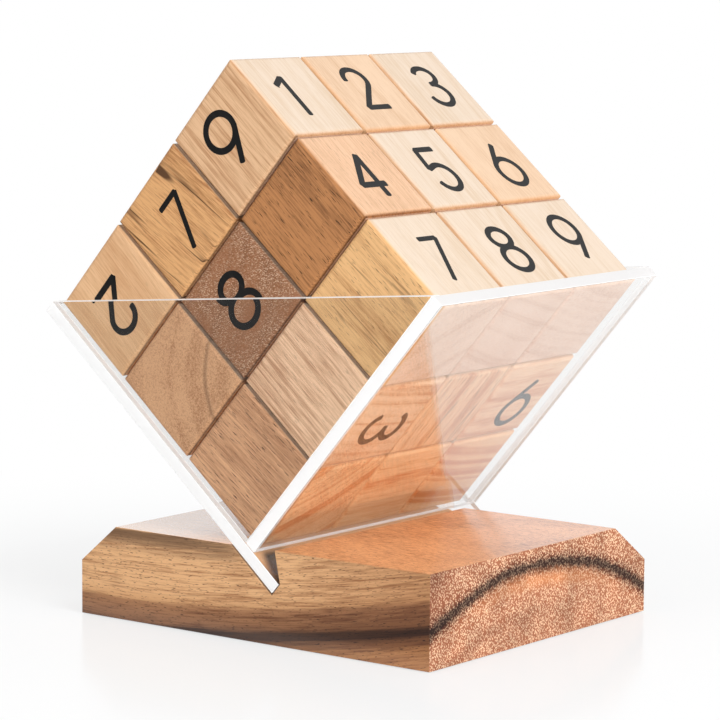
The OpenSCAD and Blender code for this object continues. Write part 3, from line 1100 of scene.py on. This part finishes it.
def ribbon(points, half):
    """Outlines of the short pieces that make one painted line with blunt ends."""
    closed = (points[0] - points[-1]).length < CLOSED_GAP
    if closed:
        points = points[:-1]
    count = len(points)
    sides = []
    for index, point in enumerate(points):
        before = points[index - 1] if index or closed else None
        after = points[(index + 1) % count] if index < count - 1 or closed else None
        one = (point - before).normalized() if before else (after - point).normalized()
        two = (after - point).normalized() if after else one
        along = (one + two).normalized()
        across = Vector((-along.y, along.x)) * (half / max(MITRE_LEAST, along.dot(one)))
        sides.append((point + across, point - across))
    outlines = []
    for index in range(count if closed else count - 1):
        (left, right), (next_left, next_right) = sides[index], sides[(index + 1) % count]
        outlines.append([left, right, next_right, next_left])
    if not closed:
        for end, beside in ((0, 1), (-1, -2)):
            out = (points[end] - points[beside]).normalized()
            start = math.atan2(out.y, out.x) - math.pi / 2
            turns = (start + math.pi * step / CAP_STEPS for step in range(CAP_STEPS + 1))
            cap = [half * Vector((math.cos(turn), math.sin(turn))) for turn in turns]
            outlines.append([points[end] + spot - out * spot.dot(out) * (1 - CAP_DEPTH) for spot in cap])
    return outlines


def number_outline(number, half):
    """Points, triangles and border edges of one painted number, in mm."""
    corners, outlines = [], []
    for parts in STROKES[number]:
        for run in smooth_runs(stroke_points(parts)):
            for outline in ribbon(run, half):
                outlines.append(list(range(len(corners), len(corners) + len(outline))))
                corners.extend(outline)
    joined = delaunay_2d_cdt(corners, [], outlines, TRIANGLES_INSIDE, JOIN_REACH)
    points, _, faces, _, _, sources = joined
    kept = [face for face, source in zip(faces, sources) if source]
    edges = {edge: True for face in kept for edge in zip(face, face[1:] + face[:1])}
    border = [(start, end) for start, end in edges if (end, start) not in edges]
    return points, kept, border


def painted_number(shape, outline, cube, face, turns, shift, film):
    """Adds one number to a mesh, as a thin film of paint on a face of a cube."""
    own_right, own_up = FACES[face]
    right, up = own_right, own_up
    for _ in range(turns):
        right, up = -up, right
    out = right.cross(up)
    origin = middle(cube) + out * (CUBE_SIDE / 2) + (own_right * shift[0] + own_up * shift[1]) * MM
    points, faces, border = outline
    sunk = film / 2
    unit = MM * NUMBER_SHARES.get(face, 1.0)
    tops, floors = [], []
    for point in points:
        spot = origin + (right * point.x + up * point.y) * unit
        tops.append(shape.verts.new(spot + out * film))
        floors.append(shape.verts.new(spot - out * sunk))
    for corners in faces:
        shape.faces.new([tops[index] for index in corners])
        shape.faces.new([floors[index] for index in reversed(corners)])
    for start, end in border:
        shape.faces.new((floors[start], floors[end], tops[end], tops[start]))


# Fibres under the paint: waves to a mm, the levels between which they wear it, and how far. Roughness
# between the fibres and on them, and the gloss of the paint
PAINT_WAVES = (2.2, 2.2, 0.2)
WORN_RISE = (0.5, 0.78)
WORN_SHARE = 0.2
PAINT_ROUGH = (0.4, 0.7)
PAINT_GLOSS = 0.3


def number_paint(settings):
    """Black paint, thin enough for the fibres of the wood to show in its gloss."""
    material, net = new_material("number_paint")
    fibre = net.noise(turned_place(net, TRAY_TURN), PAINT_WAVES, detail=3.0, roughness=0.6)
    worn = net.times(net.step(fibre, *WORN_RISE), WORN_SHARE)
    shade = net.mix(worn, settings.ink, settings.worn)
    rough = net.between(fibre, *PAINT_ROUGH)
    close_material(net, wood_shader(net, shade, rough, fibre, PAINT_RELIEF * MM, PAINT_GLOSS))
    return material


class PUZZLE_OT_paint_numbers(bpy.types.Operator):
    """Paint the numbers on the cubes"""

    bl_idname = "puzzle.paint_numbers"
    bl_label = "Paint the numbers"

    def execute(self, context):
        settings = context.scene.cube_puzzle.paint
        paint = number_paint(settings)
        half = settings.stroke / MM / 2
        halves = {number: half * STROKE_SHARES.get(number, 1.0) for number in STROKES}
        outlines = {number: number_outline(number, halves[number]) for number in STROKES}
        for cube in CUBES:
            rows = [row for row in NUMBERS if row[0] == cube]
            if not rows:
                continue
            shape = bmesh.new()
            for _, face, number, turns, aside, above in rows:
                painted_number(shape, outlines[number], cube, face, turns, (aside, above), settings.film)
            shape.normal_update()
            mesh = bpy.data.meshes.new(f"numbers_{cube}")
            shape.to_mesh(mesh)
            shape.free()
            mesh.materials.append(paint)
            numbers = bpy.data.objects.new(f"numbers_{cube}", mesh)
            context.scene.collection.objects.link(numbers)
            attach(numbers, cube)
        return {"FINISHED"}


def seen_rays(net):
    """1 for the rays by which the camera sees something straight, in gloss or through a clear sheet."""
    path = net.node("LightPath").outputs
    return net.math("MAXIMUM", path["Is Camera Ray"],
                    net.math("MAXIMUM", path["Is Glossy Ray"], path["Is Transmission Ray"]))


def mirrored_rays(net):
    """1 for the rays that some gloss has turned back, also inside a clear sheet."""
    return net.math("GREATER_THAN", net.node("LightPath").outputs["Glossy Depth"], 0.5)


# How bright the room in front of the object is in gloss
ROOM = grey(0.1)
WHITE = grey(1.0)
# Floor in m: its reach and the sides of its outline, and how far under the base it lies
FLOOR_REACH = 0.36
FLOOR_SIDES = 96
FLOOR_DROP = 0.0002
# Clouds on the floor in waves to a m, its roughness between them and on them, and its gloss
FLOOR_WAVES = (3.0, 3.0, 3.0)
FLOOR_ROUGH = (0.1, 0.2)
FLOOR_GLOSS = 0.3
# How far white stands in for the floor's own tone near the object, and the distances in m between which it
# takes over
NEAR_WHITE = 0.65
WHITE_FROM = (0.065, 0.22)
# In gloss: the places in the depth in m between which the dim of the room ends, and the distances from the
# middle between which the plain floor round the base gives way to white
DIM_ENDS = (-0.06, -0.043)
PLAIN_ENDS = (0.05, 0.1)


def pale_floor(settings):
    """Pale floor with a faint gloss, that keeps a soft shadow and runs out into the white behind it."""
    material, net = new_material("pale_floor")
    place = net.place()
    cloud = net.noise(place, FLOOR_WAVES)
    shade = net.mix(cloud, settings.floor, settings.floor_light)
    floor = net.node("BsdfPrincipled", {"Base Color": shade, "Roughness": net.between(cloud, *FLOOR_ROUGH),
                                        "Specular IOR Level": FLOOR_GLOSS})
    # In gloss the floor in front of the object lies in the dim of the room
    mirrored = mirrored_rays(net)
    dim = net.times(mirrored, net.rest(net.step(net.split(place)["Y"], *DIM_ENDS)))
    white = net.node("Emission", {"Color": net.mix(dim, WHITE, ROOM), "Strength": 1.0})
    distance = net.vector("LENGTH", place)
    part = net.times(seen_rays(net), net.between(net.step(distance, *WHITE_FROM), NEAR_WHITE, 1.0))
    plain = net.times(mirrored, net.rest(net.step(distance, *PLAIN_ENDS)))
    part = net.math("MAXIMUM", net.times(part, net.rest(plain)), dim)
    close_material(net, net.mix_shaders(part, floor.outputs["BSDF"], white.outputs["Emission"]))
    return material


# How far into the depth a ray looks, from -1 to 1, between where it meets the room and where the white, and
# the tone and strength of the light on everything else
ROOM_ENDS = (-0.45, 0.1)
SOFT_LIGHT = (1.0, 0.99, 0.98, 1.0)
SOFT_STRENGTH = 0.5


def white_world(scene):
    """White behind the object, a dimmer room before it in gloss, and a softer light on everything else."""
    world = bpy.data.worlds.new("studio_white")
    scene.world = world
    world.use_nodes = True
    world.node_tree.nodes.clear()
    net = Net(world.node_tree)
    before = net.rest(net.step(net.split(net.place("Generated"))["Y"], *ROOM_ENDS))
    room = net.mix(net.times(mirrored_rays(net), before), WHITE, ROOM)
    soft = net.node("Background", {"Color": SOFT_LIGHT, "Strength": SOFT_STRENGTH}).outputs["Background"]
    white = net.node("Background", {"Color": room, "Strength": 1.0}).outputs["Background"]
    net.put(net.node("OutputWorld").inputs["Surface"], net.mix_shaders(seen_rays(net), soft, white))


# Lamps: place and width in m, and power in W. All look at one point of the object
LAMPS = {
    "key_lamp": ((0.95, -0.2, 0.95), 0.6, 8.7),
    "side_lamp": ((1.2, -0.4, 0.17), 0.6, 7.5),
    "front_lamp": ((-0.3, -1.3, 0.55), 0.8, 6.0),
}
LAMP_AIM = Vector((0.0, 0.0, 0.07))


def lamp(scene, name, place, width, power):
    light = bpy.data.lights.new(name, "AREA")
    light.shape = "SQUARE"
    light.size = width
    light.energy = power
    holder = bpy.data.objects.new(name, light)
    scene.collection.objects.link(holder)
    holder.location = place
    holder.rotation_euler = (Vector(place) - LAMP_AIM).to_track_quat("Z", "Y").to_euler()


def camera_turn(settings):
    """Turn of a camera from its yaw, pitch and roll."""
    flat, drop = math.cos(settings.pitch), math.sin(settings.pitch)
    forward = Vector((-math.sin(settings.yaw) * flat, math.cos(settings.yaw) * flat, -drop))
    level = Vector((math.cos(settings.yaw), math.sin(settings.yaw), 0.0))
    down = forward.cross(level)
    right = math.cos(settings.roll) * level - math.sin(settings.roll) * down
    below = math.sin(settings.roll) * level + math.cos(settings.roll) * down
    return Matrix((right, -below, -forward)).transposed()


# Width of the camera's sensor in mm, and how near it sees in m
SENSOR_WIDTH = 36.0
NEAREST = 0.01


class PUZZLE_OT_set_stage(bpy.types.Operator):
    """Set the floor, the lamps, the white behind and the camera"""

    bl_idname = "puzzle.set_stage"
    bl_label = "Set the stage"

    def execute(self, context):
        scene = context.scene
        settings = scene.cube_puzzle.stage
        scene.view_settings.view_transform = "Standard"
        white_world(scene)

        turns = (math.tau * step / FLOOR_SIDES for step in range(FLOOR_SIDES))
        rim = [(FLOOR_REACH * math.cos(turn), FLOOR_REACH * math.sin(turn), 0.0) for turn in turns]
        mesh = bpy.data.meshes.new("floor")
        mesh.from_pydata(rim, [], [tuple(range(FLOOR_SIDES))])
        mesh.materials.append(pale_floor(settings))
        floor = bpy.data.objects.new("floor", mesh)
        floor.location.z = CAD_BOX[0].z - FLOOR_DROP
        scene.collection.objects.link(floor)

        for name, (place, width, power) in LAMPS.items():
            lamp(scene, name, place, width, power)

        data = bpy.data.cameras.new("camera")
        data.sensor_width = SENSOR_WIDTH
        data.lens = settings.lens
        data.clip_start = NEAREST
        camera = bpy.data.objects.new("camera", data)
        camera.matrix_world = Matrix.Translation(settings.camera_place) @ camera_turn(settings).to_4x4()
        scene.collection.objects.link(camera)
        scene.camera = camera
        return {"FINISHED"}


class PUZZLE_PT_sidebar(bpy.types.Panel):
    """The steps that dress the puzzle, and the settings of each"""

    bl_idname = "PUZZLE_PT_sidebar"
    bl_label = "Number Cube Puzzle"
    bl_space_type = "VIEW_3D"
    bl_region_type = "UI"
    bl_category = "Cube Puzzle"

    def draw(self, context):
        puzzle = context.scene.cube_puzzle
        for step in STEPS:
            self.layout.operator(step.bl_idname)
        for group in ("base", "sheet", "under", "paint", "stage", *WOODS):
            box = self.layout.box()
            box.label(text=group.capitalize())
            settings = getattr(puzzle, group)
            for field in settings.bl_rna.properties.keys():
                if field not in ("rna_type", "name"):
                    box.prop(settings, field)


STEPS = (PUZZLE_OT_dress_base, PUZZLE_OT_dress_tray, PUZZLE_OT_dress_cubes, PUZZLE_OT_paint_numbers,
         PUZZLE_OT_set_stage)
CLASSES = (*WOOD_CLASSES.values(), PUZZLE_PG_base, PUZZLE_PG_sheet, PUZZLE_PG_underside_light, PUZZLE_PG_paint,
           PUZZLE_PG_stage, PUZZLE_PG_settings, *STEPS, PUZZLE_PT_sidebar)


def register():
    for item in CLASSES:
        bpy.utils.register_class(item)
    bpy.types.Scene.cube_puzzle = PointerProperty(type=PUZZLE_PG_settings)


def unregister():
    del bpy.types.Scene.cube_puzzle
    for item in reversed(CLASSES):
        bpy.utils.unregister_class(item)


def main():
    register()
    bpy.ops.puzzle.dress_base()
    bpy.ops.puzzle.dress_tray()
    bpy.ops.puzzle.dress_cubes()
    bpy.ops.puzzle.paint_numbers()
    bpy.ops.puzzle.set_stage()


if __name__ == "__main__":
    main()
